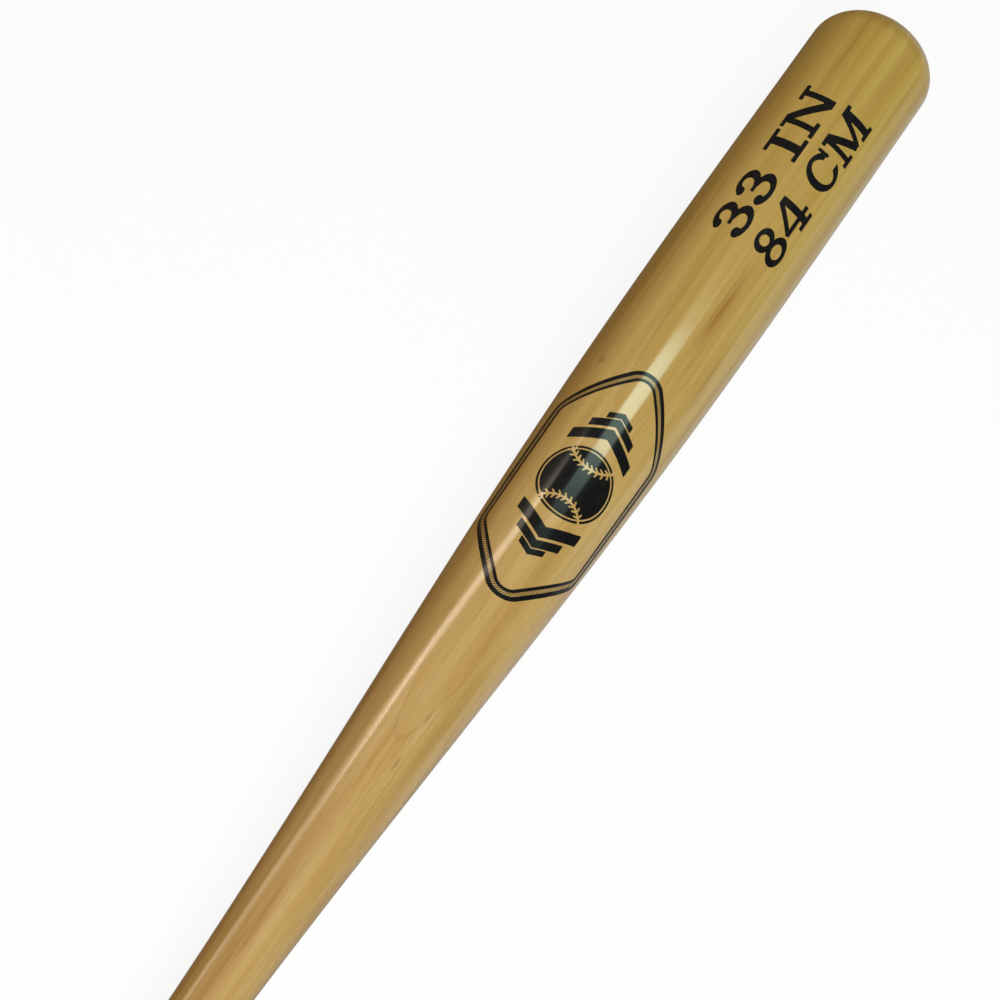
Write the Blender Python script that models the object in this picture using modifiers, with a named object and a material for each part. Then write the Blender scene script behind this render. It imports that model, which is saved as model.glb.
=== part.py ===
"""A baseball bat of laminated bamboo, turned from a billet of glued strips, at its real size.

The bat lies along +X. The origin is the centre of the knob's flat end face, and the tip of the barrel
points along +X. The strips are stacked in layers along +Z, so the broad face of the outermost strip on
the printed side looks up, and in each layer the strips lie side by side along +Y. Every other layer
starts with the half strip, so the seams of neighbouring layers don't line up.

Turning the billet cuts the outer strips through at the handle. What is left of such a strip in the
barrel and in the knob are two separate pieces, and only the core strips run from end to end. A piece is
named for its zone, its layer, counted from the bottom, and its place in the layer, a to d from -Y to +Y.
"""

import math

import bmesh
import bpy

# Turned outline, lengths along the axis and diameters across it, in metres
BAT_LENGTH = 0.840
BARREL_DIAMETER = 0.065
BARREL_STRAIGHT = 0.022  # full-diameter stretch between the taper and the tip's dome
TIP_DOME_DEPTH = 0.024
HANDLE_DIAMETER = 0.025
HANDLE_STRAIGHT = 0.090  # grip of even thickness between the knob's flare and the taper
KNOB_DIAMETER = 0.050
KNOB_FACE_DIAMETER = 0.030
KNOB_CROWN_HEIGHT = 0.010  # from the flat end face to the knob's widest ring
KNOB_FLARE_LENGTH = 0.030  # from the widest ring to the handle

# How each taper curves: hollow where it leaves the handle, and full where it meets the wide end
TAPER_HOLLOWNESS = 2.13
TAPER_FULLNESS = 4.2
FLARE_HOLLOWNESS = 2.0
FLARE_FULLNESS = 1.7

# The billet: bamboo strips, the glue between them, and what turning takes off
LAYERS = 9
WHOLE_STRIPS = 3  # in each layer, beside a half one
TURNING_ALLOWANCE = 0.0053  # billet outside the barrel on each side
BILLET_OFFSET = -0.0028  # from the bat's axis to the middle of the billet, across the strips
GLUE_LINE = 0.0003
LEAST_DEPTH = 0.0004  # a shallower sliver than this is sanded away
LEAST_IN_HANDLE = 0.002  # a strip with less than this inside the handle is parted there

# How finely the round shape is divided
FLATS = 28
DOME_STEPS = 8
TAPER_STEPS = 24
FLARE_STEPS = 7
CROWN_STEPS = 4
MERGE_DISTANCE = 0.00001  # joins the turned surface to itself on the axis and round the turn

BAMBOO_ROUGHNESS = 0.35
BAMBOO_TONES = ((0.56, 0.35, 0.12), (0.50, 0.30, 0.10), (0.60, 0.39, 0.15))

BARREL_RADIUS = BARREL_DIAMETER / 2
HANDLE_RADIUS = HANDLE_DIAMETER / 2
KNOB_RADIUS = KNOB_DIAMETER / 2
FLARE_END = KNOB_CROWN_HEIGHT + KNOB_FLARE_LENGTH
TAPER_START = FLARE_END + HANDLE_STRAIGHT
DOME_START = BAT_LENGTH - TIP_DOME_DEPTH
TAPER_END = DOME_START - BARREL_STRAIGHT
HANDLE_MIDDLE = FLARE_END + HANDLE_STRAIGHT / 2
BILLET_SIDE = BARREL_DIAMETER + 2 * TURNING_ALLOWANCE
BILLET_START = -TURNING_ALLOWANCE
BILLET_END = BAT_LENGTH + TURNING_ALLOWANCE
STRIP_THICKNESS = BILLET_SIDE / LAYERS
STRIP_WIDTH = BILLET_SIDE / (WHOLE_STRIPS + 0.5)


def swell(share, hollowness, fullness):
    """Rises from 0 to 1, hollow at the thin end and full at the thick end."""
    return 1 - (1 - share**hollowness) ** fullness


def quarter_arc(steps):
    """Pairs of (cosine, sine) along a quarter turn, both ends included."""
    angles = [math.pi / 2 * step / steps for step in range(steps + 1)]
    return [(math.cos(angle), math.sin(angle)) for angle in angles]


def turned_profile():
    """Points (distance along the bat, radius) from the middle of the knob's face to the tip."""
    face_radius = KNOB_FACE_DIAMETER / 2
    points = [(0.0, 0.0)]
    for cosine, sine in quarter_arc(CROWN_STEPS):
        points.append((KNOB_CROWN_HEIGHT * (1 - cosine), face_radius + (KNOB_RADIUS - face_radius) * sine))
    for step in range(1, FLARE_STEPS + 1):
        share = 1 - step / FLARE_STEPS
        rise = swell(share, FLARE_HOLLOWNESS, FLARE_FULLNESS)
        radius = HANDLE_RADIUS + (KNOB_RADIUS - HANDLE_RADIUS) * rise
        points.append((FLARE_END - KNOB_FLARE_LENGTH * share, radius))
    for step in range(TAPER_STEPS + 1):
        share = step / TAPER_STEPS
        rise = swell(share, TAPER_HOLLOWNESS, TAPER_FULLNESS)
        radius = HANDLE_RADIUS + (BARREL_RADIUS - HANDLE_RADIUS) * rise
        points.append((TAPER_START + (TAPER_END - TAPER_START) * share, radius))
    for cosine, sine in quarter_arc(DOME_STEPS):
        points.append((DOME_START + TIP_DOME_DEPTH * sine, BARREL_RADIUS * cosine))
    return points


def new_collection(name):
    collection = bpy.data.collections.new(name)
    bpy.context.scene.collection.children.link(collection)
    return collection


def turned_blank(collection):
    """The whole bat as one turned solid, which shapes the strips. Its flats stand on the true round."""
    across_corners = 1 / math.cos(math.pi / FLATS)
    half_flat = math.pi / FLATS
    mesh = bpy.data.meshes.new("turned_blank")
    sketch = bmesh.new()
    # The profile runs from the tip down to the knob, and is turned about the bat's axis
    rows = [
        sketch.verts.new(
            (
                distance,
                radius * across_corners * math.sin(half_flat),
                radius * across_corners * math.cos(half_flat),
            )
        )
        for distance, radius in reversed(turned_profile())
    ]
    for first, second in zip(rows, rows[1:]):
        sketch.edges.new((first, second))
    sketch.to_mesh(mesh)
    sketch.free()
    blank = bpy.data.objects.new("turned_blank", mesh)
    collection.objects.link(blank)
    screw = blank.modifiers.new("turning", "SCREW")
    screw.axis = "X"
    screw.steps = FLATS
    screw.render_steps = FLATS
    screw.use_merge_vertices = True
    screw.merge_threshold = MERGE_DISTANCE
    blank.hide_render = True
    blank.display_type = "WIRE"
    return blank


def between(edges):
    """Low and high side of each strip between neighbouring edges, less half a glue line at each."""
    half_glue = GLUE_LINE / 2
    return [(low + half_glue, high - half_glue) for low, high in zip(edges, edges[1:])]


def layer_sides():
    """Low and high side of each layer, from the bottom of the billet to its top."""
    bottom = -BILLET_SIDE / 2
    return between([bottom + STRIP_THICKNESS * number for number in range(LAYERS + 1)])


def strip_sides(layer):
    """Left and right side of each strip of a layer. The half strip is the first or the last in turn."""
    left = BILLET_OFFSET - BILLET_SIDE / 2
    right = BILLET_OFFSET + BILLET_SIDE / 2
    if layer % 2 == 0:
        return between([left] + [right - STRIP_WIDTH * number for number in range(WHOLE_STRIPS, -1, -1)])
    return between([left + STRIP_WIDTH * number for number in range(WHOLE_STRIPS + 1)] + [right])


def nearest_to_axis(left, right, low, high):
    """How far a strip's cross-section stays from the bat's axis."""
    return math.hypot(max(left, -right, 0.0), max(low, -high, 0.0))


def zones(nearest):
    """(zone, start, end) along the bat of each piece that turning leaves of a strip."""
    if nearest < HANDLE_RADIUS - LEAST_IN_HANDLE:
        return [("core", BILLET_START, BILLET_END)]
    found = []
    if nearest < BARREL_RADIUS - LEAST_DEPTH:
        found.append(("barrel", HANDLE_MIDDLE + GLUE_LINE / 2, BILLET_END))
    if nearest < KNOB_RADIUS - LEAST_DEPTH:
        found.append(("knob", BILLET_START, HANDLE_MIDDLE - GLUE_LINE / 2))
    return found


def bamboo(name, tone):
    """Clear-lacquered bamboo: warm straw yellow under a smooth coat."""
    material = bpy.data.materials.new(name)
    material.use_nodes = True
    shader = material.node_tree.nodes["Principled BSDF"]
    shader.inputs["Base Color"].default_value = (*tone, 1.0)
    shader.inputs["Roughness"].default_value = BAMBOO_ROUGHNESS
    shader.inputs["Metallic"].default_value = 0.0
    return material


def strip(collection, blank, name, tone, box):
    """One strip: a straight sawn length of bamboo, trimmed to what lies inside the turned shape."""
    (start, end), (left, right), (low, high) = box
    mesh = bpy.data.meshes.new(name)
    shape = bmesh.new()
    bmesh.ops.create_cube(shape, size=1.0)
    bmesh.ops.scale(shape, vec=(end - start, right - left, high - low), verts=shape.verts)
    shape.to_mesh(mesh)
    shape.free()
    piece = bpy.data.objects.new(name, mesh)
    piece.location = ((start + end) / 2, (left + right) / 2, (low + high) / 2)
    collection.objects.link(piece)
    mesh.materials.append(bamboo(name + "_bamboo", tone))
    trim = piece.modifiers.new("turning", "BOOLEAN")
    trim.operation = "INTERSECT"
    trim.solver = "EXACT"
    trim.object = blank
    return piece


def glue_up(collection, blank):
    """Every strip of the billet, layer by layer from the bottom and from left to right."""
    for layer, (low, high) in enumerate(layer_sides()):
        for place, (left, right) in enumerate(strip_sides(layer)):
            tone = BAMBOO_TONES[(layer + place) % len(BAMBOO_TONES)]
            for zone, start, end in zones(nearest_to_axis(left, right, low, high)):
                name = f"{zone}_strip_{layer + 1}{chr(ord('a') + place)}"
                strip(collection, blank, name, tone, ((start, end), (left, right), (low, high)))


def main():
    for leftover in list(bpy.data.objects):
        bpy.data.objects.remove(leftover)
    bat = new_collection("bamboo_bat")
    cutters = new_collection("turning_guides")
    glue_up(bat, turned_blank(cutters))


main()
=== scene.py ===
"""Looks of the laminated-bamboo baseball bat: turned strips, grain, lacquer and printed marks.

The bat lies along +X with the knob's flat end at the origin. Its printed side looks up along +Z.
"""

import math

import bmesh
import bpy
import numpy as np
from mathutils import Matrix, Vector


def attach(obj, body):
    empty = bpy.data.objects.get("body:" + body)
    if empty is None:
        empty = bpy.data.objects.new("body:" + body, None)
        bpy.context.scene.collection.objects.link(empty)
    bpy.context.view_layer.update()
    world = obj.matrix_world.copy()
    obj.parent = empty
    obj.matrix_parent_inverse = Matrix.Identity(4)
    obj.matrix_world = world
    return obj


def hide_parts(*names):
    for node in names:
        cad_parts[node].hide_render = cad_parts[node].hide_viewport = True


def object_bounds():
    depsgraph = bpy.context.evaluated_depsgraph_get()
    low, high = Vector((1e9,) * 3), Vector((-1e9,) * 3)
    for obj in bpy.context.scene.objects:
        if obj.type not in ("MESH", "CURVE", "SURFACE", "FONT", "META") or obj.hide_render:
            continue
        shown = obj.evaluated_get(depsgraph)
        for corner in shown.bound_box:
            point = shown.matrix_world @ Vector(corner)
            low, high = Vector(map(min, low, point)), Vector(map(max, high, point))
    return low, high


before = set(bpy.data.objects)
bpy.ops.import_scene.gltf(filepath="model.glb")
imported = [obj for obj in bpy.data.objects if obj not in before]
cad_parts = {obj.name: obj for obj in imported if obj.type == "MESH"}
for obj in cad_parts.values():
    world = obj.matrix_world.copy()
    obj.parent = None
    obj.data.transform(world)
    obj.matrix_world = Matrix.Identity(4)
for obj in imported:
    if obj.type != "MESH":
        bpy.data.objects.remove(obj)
cad_low, cad_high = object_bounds()

MM = 0.001

# Turned outline, in metres, as the solids have it
LENGTH = cad_high.x - cad_low.x
BARREL_RADIUS = (cad_high.y - cad_low.y) / 2
BARREL_STRAIGHT = 0.022
DOME_DEPTH = 0.024
HANDLE_RADIUS = 0.0125
GRIP_LENGTH = 0.090
KNOB_RADIUS = 0.025
KNOB_FACE_RADIUS = 0.015
CROWN_HEIGHT = 0.010
FLARE_LENGTH = 0.030
TAPER_HOLLOWNESS = 2.13
TAPER_FULLNESS = 4.2
FLARE_HOLLOWNESS = 2.0
FLARE_FULLNESS = 1.7
HANDLE_MIDDLE = CROWN_HEIGHT + FLARE_LENGTH + GRIP_LENGTH / 2

# The billet that the bat is turned from, and its seams
LAYERS = 9
WHOLE_STRIPS = 3
TURNING_ALLOWANCE = 0.0053
BILLET_OFFSET = -0.0028
BILLET_SIDE = 2 * (BARREL_RADIUS + TURNING_ALLOWANCE)
STRIP_THICKNESS = BILLET_SIDE / LAYERS
STRIP_WIDTH = BILLET_SIDE / (WHOLE_STRIPS + 0.5)
SEAM = 0.02 * MM  # what is left open between two glued strips
BEYOND = 1.0  # farther out than any part of the bat

# How finely the turned surface is divided
SEGMENTS = 192
FACE_RINGS = 5
CROWN_RINGS = 18
FLARE_RINGS = 24
GRIP_RINGS = 24
TAPER_RINGS = 170
BARREL_RINGS = 6
DOME_RINGS = 44
MERGE_DISTANCE = 1e-6

# Printed marks, in millimetres on the unrolled surface: along from the knob, and round from the top
LENGTH_MARK_START = 671.5
LENGTH_MARK_LENGTH = 98.0
SIGN_HEIGHT = 17.5
UPPER_LINE_FOOT = 3.3
LOWER_LINE_FOOT = -19.3
CENTRE_MARK_X = 522.5
FRAME_HALF_LENGTH = 71.0  # before its corners are rounded
FRAME_HALF_WIDTH = 34.5
FRAME_SHOULDER = 34.0  # where the straight sides meet the slanted ones, from the middle
FRAME_ROUNDING = 12.0
OUTER_LINE = 2.1
HATCHED_BAND = 1.7
INNER_LINE = 1.5
HATCH_SPACING = 1.2
HATCH_BAR_LENGTH = 2.6
HATCH_BAR_WIDTH = 0.36
HATCH_SLANT = math.radians(-38)
HATCH_DROP = 0.005  # deeper than the lines, so that no two faces lie in one plane
BALL_RADIUS = 18.5
BALL_LINE = 0.7  # a bare line inside the ball's edge
BALL_LINE_INSET = 1.5
BALL_SEAM = 1.1  # bare too, an arc round a point outside the ball
BALL_SEAM_RADIUS = 14.0
BALL_SEAM_MIDDLE = 23.0
STITCH_LENGTH = 2.7
STITCH_WIDTH = 0.8
STITCH_LEAN = 0.6  # in radians, out of the square
BARE_ROUND_BALL = 1.6
CHEVRONS = ((17.5, 6.0, 33.0), (27.5, 4.4, 23.0), (35.0, 3.2, 13.0))  # start, thickness, height
CHEVRON_SLOPE = 0.5
INK_PROUD = 0.02
INK_SUNK = 0.04
INK_GRID = 0.34  # step of the grid that the marks are worked out on
LEAST_SHARE = 0.08  # of a step between the grid and a mark's edge, so that no face is a sliver

# What comes up often in node trees
MATH = "ShaderNodeMath"
VECTOR_MATH = "ShaderNodeVectorMath"
MAP_RANGE = "ShaderNodeMapRange"  # inputs: 0 the value, 1 and 2 its range, 3 and 4 what they become
MIX = "ShaderNodeMix"
GEOMETRY = [("Geometry", "Geometry")]


def linear(code):
    """An sRGB hex code as a linear colour with alpha."""
    channels = [int(code[place : place + 2], 16) / 255 for place in (1, 3, 5)]
    return (*[c / 12.92 if c <= 0.04045 else ((c + 0.055) / 1.055) ** 2.4 for c in channels], 1.0)


def feed(node, values):
    """Feeds a node's inputs, in their order or by name, from sockets, nodes or plain values."""
    if not isinstance(values, dict):
        values = dict(enumerate(values))
    for key, value in values.items():
        if isinstance(value, bpy.types.Node):
            value = value.outputs[0]
        if isinstance(value, bpy.types.NodeSocket):
            node.id_data.links.new(value, node.inputs[key])
        else:
            node.inputs[key].default_value = value


def add(tree, kind, values=(), **settings):
    """Adds a node with its settings, and feeds its inputs."""
    node = tree.nodes.new(kind)
    for name, value in settings.items():
        setattr(node, name, value)
    feed(node, values)
    return node


def new_tree(name, kind, inputs, outputs):
    """A node group with its sockets. Returns it, what it is given, and its output node."""
    tree = bpy.data.node_groups.new(name, kind)
    for socket, socket_type in inputs:
        tree.interface.new_socket(socket, in_out="INPUT", socket_type="NodeSocket" + socket_type)
    for socket, socket_type in outputs:
        tree.interface.new_socket(socket, in_out="OUTPUT", socket_type="NodeSocket" + socket_type)
    return tree, tree.nodes.new("NodeGroupInput").outputs, tree.nodes.new("NodeGroupOutput")


def new_object(name, data):
    """An object that is in the scene."""
    made = bpy.data.objects.new(name, data)
    bpy.context.scene.collection.objects.link(made)
    return made


# Shape of the turned bat


def turned_zone():
    """Node group: one zone of a turned surface, between two distances along the X axis.

    A rounded zone is a quarter of an ellipse. Any other runs from one radius to the other, hollow
    at the start and full at the end, and is straight where both exponents are 1.
    """
    sizes = ("Start", "Length", "From Radius", "To Radius", "Hollowness", "Fullness")
    others = [("Rings", "Int"), ("Segments", "Int"), ("Rounded", "Bool")]
    inputs = [(name, "Float") for name in sizes] + others
    tree, given, result = new_tree("turned_zone", "GeometryNodeTree", inputs, GEOMETRY)
    rows = add(tree, MATH, [given["Rings"], 1.0], operation="ADD")
    columns = add(tree, MATH, [given["Segments"], 1.0], operation="ADD")
    # A flat square about its middle, with the zone's length on X and the turn on Y
    grid = add(tree, "GeometryNodeMeshGrid", [1.0, 1.0, rows, columns])
    place = add(tree, "ShaderNodeSeparateXYZ", [add(tree, "GeometryNodeInputPosition")])
    share = add(tree, MATH, [place, 0.5], operation="ADD", use_clamp=True)
    turn = add(tree, MATH, [place.outputs[1], 0.5], operation="ADD")
    angle = add(tree, MATH, [turn, 2 * math.pi], operation="MULTIPLY")
    quarter = add(tree, MATH, [share, math.pi / 2], operation="MULTIPLY")
    cosine = add(tree, MATH, [quarter], operation="COSINE")
    arc_along = add(tree, MATH, [1.0, cosine], operation="SUBTRACT")
    arc_out = add(tree, MATH, [quarter], operation="SINE")
    hollow = add(tree, MATH, [share, given["Hollowness"]], operation="POWER")
    left = add(tree, MATH, [1.0, hollow], operation="SUBTRACT", use_clamp=True)
    full = add(tree, MATH, [left, given["Fullness"]], operation="POWER")
    swell = add(tree, MATH, [1.0, full], operation="SUBTRACT")
    along = add(tree, MIX, {0: given["Rounded"], 2: share, 3: arc_along})
    out = add(tree, MIX, {0: given["Rounded"], 2: swell, 3: arc_out})
    distance = add(tree, MATH, [along, given["Length"], given["Start"]], operation="MULTIPLY_ADD")
    radius = add(tree, MIX, {0: out, 2: given["From Radius"], 3: given["To Radius"]})
    sine = add(tree, MATH, [angle], operation="SINE")
    across = add(tree, MATH, [radius, sine], operation="MULTIPLY")
    cosine = add(tree, MATH, [angle], operation="COSINE")
    up = add(tree, MATH, [radius, cosine], operation="MULTIPLY")
    point = add(tree, "ShaderNodeCombineXYZ", [distance, across, up])
    moved = add(tree, "GeometryNodeSetPosition", {0: grid, "Position": point})
    backwards = add(tree, MATH, [given["Length"], 0.0], operation="LESS_THAN")
    turned = add(tree, "GeometryNodeFlipFaces", [moved, backwards])
    feed(result, [turned])
    return tree


def turned_bat():
    """Node group: the whole turned surface, closed, from its named sizes in metres."""
    sizes = {
        "Length": LENGTH,
        "Barrel Radius": BARREL_RADIUS,
        "Barrel Straight": BARREL_STRAIGHT,
        "Dome Depth": DOME_DEPTH,
        "Handle Radius": HANDLE_RADIUS,
        "Grip Length": GRIP_LENGTH,
        "Knob Radius": KNOB_RADIUS,
        "Knob Face Radius": KNOB_FACE_RADIUS,
        "Crown Height": CROWN_HEIGHT,
        "Flare Length": FLARE_LENGTH,
    }
    inputs = [(name, "Float") for name in sizes] + [("Segments", "Int"), ("Finish", "Material")]
    tree, given, result = new_tree("turned_bat", "GeometryNodeTree", inputs, GEOMETRY)
    zone = turned_zone()
    flare_end = add(tree, MATH, [given["Crown Height"], given["Flare Length"]], operation="ADD")
    taper_start = add(tree, MATH, [flare_end, given["Grip Length"]], operation="ADD")
    dome_start = add(tree, MATH, [given["Length"], given["Dome Depth"]], operation="SUBTRACT")
    taper_end = add(tree, MATH, [dome_start, given["Barrel Straight"]], operation="SUBTRACT")
    taper = add(tree, MATH, [taper_end, taper_start], operation="SUBTRACT")
    flare_back = add(tree, MATH, [given["Flare Length"], -1.0], operation="MULTIPLY")
    dome_back = add(tree, MATH, [given["Dome Depth"], -1.0], operation="MULTIPLY")
    barrel, handle = given["Barrel Radius"], given["Handle Radius"]
    knob, face = given["Knob Radius"], given["Knob Face Radius"]
    zones = (
        (0.0, 0.0, 0.0, face, 1.0, 1.0, FACE_RINGS, False),
        (0.0, given["Crown Height"], face, knob, 1.0, 1.0, CROWN_RINGS, True),
        (flare_end, flare_back, handle, knob, FLARE_HOLLOWNESS, FLARE_FULLNESS, FLARE_RINGS, False),
        (flare_end, given["Grip Length"], handle, handle, 1.0, 1.0, GRIP_RINGS, False),
        (taper_start, taper, handle, barrel, TAPER_HOLLOWNESS, TAPER_FULLNESS, TAPER_RINGS, False),
        (taper_end, given["Barrel Straight"], barrel, barrel, 1.0, 1.0, BARREL_RINGS, False),
        (given["Length"], dome_back, 0.0, barrel, 1.0, 1.0, DOME_RINGS, True),
    )
    joined = add(tree, "GeometryNodeJoinGeometry")
    for *sizes_and_rings, rounded in zones:
        values = [*sizes_and_rings, given["Segments"], rounded]
        feed(joined, [add(tree, "GeometryNodeGroup", values, node_tree=zone)])
    closed = add(tree, "GeometryNodeMergeByDistance", {0: joined, "Distance": MERGE_DISTANCE})
    smooth = add(tree, "GeometryNodeSetShadeSmooth", [closed])
    real = add(tree, "GeometryNodeRealizeInstances", [smooth])
    finished = add(tree, "GeometryNodeSetMaterial", {0: real, "Material": given["Finish"]})
    feed(result, [finished])
    return tree, sizes


def made_by(tree, values, name, start=None):
    """The plain mesh that a geometry tree makes, with its inputs set by their names."""
    carrier = new_object(name, start or bpy.data.meshes.new(name))
    modifier = carrier.modifiers.new(name, "NODES")
    modifier.node_group = tree
    for item in tree.interface.items_tree:
        if item.in_out == "INPUT" and item.name in values:
            modifier[item.identifier] = values[item.name]
    bpy.context.view_layer.update()
    evaluated = carrier.evaluated_get(bpy.context.evaluated_depsgraph_get())
    mesh = bpy.data.meshes.new_from_object(evaluated)
    bpy.data.objects.remove(carrier)
    return mesh


def outline_of(mesh):
    """Distances along the bat and radii there, read along the top of the turned surface."""
    places = [v.co for v in mesh.vertices if abs(v.co.y) < MERGE_DISTANCE and v.co.z > 0]
    # The knob's flat face has many radii at one distance, so it is left out
    return np.array(sorted((co.x, co.z) for co in places if co.x > MERGE_DISTANCE)).T


def put_on(mesh, name):
    """A visible piece of the bat, which has one body."""
    piece = new_object(name, mesh)
    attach(piece, "root")
    return piece


def shade(mesh, normals):
    """Gives each corner its vertex's normal, and the corners of flat faces their face's own."""
    corner_vertex = np.empty(len(mesh.loops), np.int32)
    mesh.loops.foreach_get("vertex_index", corner_vertex)
    normals = normals[corner_vertex]
    for polygon in mesh.polygons:
        if not polygon.use_smooth:
            normals[polygon.loop_start : polygon.loop_start + polygon.loop_total] = polygon.normal
    mesh.normals_split_custom_set(normals.tolist())


# Strips


def cut(shape, point, normal, zone=(-BEYOND, BEYOND)):
    """Takes away what lies beyond a plane, between two distances along the bat."""
    low, high = zone

    def inside(element):
        return all(low - SEAM / 4 <= v.co.x <= high + SEAM / 4 for v in element.verts)

    verts = [v for v in shape.verts if low - SEAM / 4 <= v.co.x <= high + SEAM / 4]
    edges = [edge for edge in shape.edges if inside(edge)]
    faces = [face for face in shape.faces if inside(face)]
    bmesh.ops.bisect_plane(
        shape,
        geom=verts + edges + faces,
        dist=MERGE_DISTANCE / 10,
        plane_co=point,
        plane_no=normal,
        clear_outer=True,
    )


def close(shape):
    """Closes each open outline with one flat face."""
    open_edges = [edge for edge in shape.edges if edge.is_boundary]
    made = bmesh.ops.holes_fill(shape, edges=open_edges, sides=0)
    for face in made["faces"]:
        face.smooth = False


def seams_of(layer):
    """Where the seams between the strips of a layer lie, across the bat, billet sides included."""
    left = BILLET_OFFSET - BILLET_SIDE / 2
    shift = 0.5 if layer % 2 == 0 else 1.0
    inner = [left + STRIP_WIDTH * (shift + number) for number in range(WHOLE_STRIPS)]
    return [left, *inner, left + BILLET_SIDE]


def sides_in_zone(layer, place, zone, names):
    """Both sides of a strip in one zone. The outermost strip there takes the last sliver too."""
    seams = seams_of(layer)
    here = [
        number
        for number in range(len(seams) - 1)
        if {f"{kind}_strip_{layer + 1}{chr(ord('a') + number)}" for kind in (zone, "core")} & names
    ]
    left = -BEYOND if place == min(here) else seams[place] + SEAM / 2
    right = BEYOND if place == max(here) else seams[place + 1] - SEAM / 2
    return left, right


def layer_slab(blank, layer):
    """The turned surface between the two seams of a layer, closed at both."""
    slab = blank.copy()
    bottom = -BILLET_SIDE / 2 + STRIP_THICKNESS * layer
    if layer > 0:
        cut(slab, (0, 0, bottom + SEAM / 2), (0, 0, -1))
    if layer < LAYERS - 1:
        cut(slab, (0, 0, bottom + STRIP_THICKNESS - SEAM / 2), (0, 0, 1))
    close(slab)
    return slab


def strip_shape(slab, layer, place, kind, names):
    """One strip, or what turning leaves of it in the knob or the barrel."""
    shape = slab.copy()
    ends = {"knob": (-BEYOND, HANDLE_MIDDLE), "barrel": (HANDLE_MIDDLE, BEYOND)}
    if kind == "core":
        # An extra ring at the middle of the handle lets the two zones be cut one by one
        bmesh.ops.bisect_plane(
            shape,
            geom=shape.verts[:] + shape.edges[:] + shape.faces[:],
            dist=MERGE_DISTANCE / 10,
            plane_co=(HANDLE_MIDDLE, 0, 0),
            plane_no=(1, 0, 0),
        )
    elif kind == "knob":
        cut(shape, (HANDLE_MIDDLE - SEAM / 2, 0, 0), (1, 0, 0))
    else:
        cut(shape, (HANDLE_MIDDLE + SEAM / 2, 0, 0), (-1, 0, 0))
    zones = ends if kind == "core" else (kind,)
    sides = {zone: sides_in_zone(layer, place, zone, names) for zone in zones}
    for number, direction in enumerate((-1, 1)):
        seams = {zone: both[number] for zone, both in sides.items() if abs(both[number]) < BEYOND}
        if len(seams) == len(sides):
            # The whole length is cut at once, so that the zones don't tear each other's faces
            cut(shape, (0, min(seams.values()), 0), (0, direction, 0))
        else:
            for zone, seam in seams.items():
                cut(shape, (0, seam, 0), (0, direction, 0), ends[zone])
    close(shape)
    return shape


def keep_turned_normals(mesh):
    """Gives the turned faces the uncut surface's normals, so that gloss runs on over a seam."""
    stored = np.empty(len(mesh.vertices) * 3, np.float32)
    mesh.attributes["turned_normal"].data.foreach_get("vector", stored)
    stored = stored.reshape(-1, 3)
    stored /= np.maximum(np.linalg.norm(stored, axis=1), 1e-9)[:, None]
    shade(mesh, stored)
    mesh.attributes.remove(mesh.attributes["turned_normal"])


def glue_up(turned, bamboo):
    """Cuts the turned surface into strips, each standing for the solid of its own name."""
    blank = bmesh.new()
    blank.from_mesh(turned)
    normal_layer = blank.verts.layers.float_vector.new("turned_normal")
    blank.normal_update()
    for vertex in blank.verts:
        vertex[normal_layer] = vertex.normal
    names = set(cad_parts)
    for layer in range(LAYERS):
        slab = layer_slab(blank, layer)
        for name in sorted(names):
            kind, _, number = name.split("_")
            if int(number[:-1]) != layer + 1:
                continue
            shape = strip_shape(slab, layer, ord(number[-1]) - ord("a"), kind, names)
            mesh = bpy.data.meshes.new("turned_" + name)
            shape.to_mesh(mesh)
            shape.free()
            keep_turned_normals(mesh)
            mesh.materials.clear()
            mesh.materials.append(bamboo)
            piece = put_on(mesh, "turned_" + name)
            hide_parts(name)
        slab.free()
    blank.free()


# Printed marks, as distance fields on the unrolled surface: negative inside the ink


def bar_field(u, v, start, end, width):
    """A straight bar with square ends."""
    (u0, v0), (u1, v1) = start, end
    length = math.hypot(u1 - u0, v1 - v0)
    along = ((u - u0) * (u1 - u0) + (v - v0) * (v1 - v0)) / length
    across = ((u - u0) * (v1 - v0) - (v - v0) * (u1 - u0)) / length
    return np.maximum(np.abs(along - length / 2) - length / 2, np.abs(across) - width / 2)


def ellipse_field(u, v, centre, radii):
    """A filled oval. Its distances are close to true near the outline."""
    du, dv = (u - centre[0]) / radii[0], (v - centre[1]) / radii[1]
    reach = np.hypot(du, dv)
    steep = np.hypot(du / radii[0], dv / radii[1])
    return reach * (reach - 1) / np.maximum(steep, 1e-6)


def ring_field(u, v, centre, radii, side, top, opening=None):
    """An oval ring, thick at its sides, thin at top and bottom, and cut open by a box if given."""
    inner = (radii[0] - side, radii[1] - top)
    ring = np.maximum(ellipse_field(u, v, centre, radii), -ellipse_field(u, v, centre, inner))
    if opening:
        (left, right), (low, high) = opening
        gap = np.maximum(np.maximum(left - u, u - right), np.maximum(low - v, v - high))
        ring = np.maximum(ring, -gap)
    return ring


def polygon_field(u, v, corners):
    """Distance to the outline of a convex polygon given anticlockwise, negative inside."""
    nearest = np.full(u.shape, np.inf)
    inside = np.full(u.shape, True)
    for (u0, v0), (u1, v1) in zip(corners, corners[1:] + corners[:1]):
        du, dv = u1 - u0, v1 - v0
        share = np.clip(((u - u0) * du + (v - v0) * dv) / (du * du + dv * dv), 0, 1)
        nearest = np.minimum(nearest, np.hypot(u - u0 - share * du, v - v0 - share * dv))
        inside &= du * (v - v0) - dv * (u - u0) > 0
    return np.where(inside, -nearest, nearest)


# Widths of the signs' strokes, for a height of 1
STEM = 0.18
HAIR = 0.125
SLAB = 0.125
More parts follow.
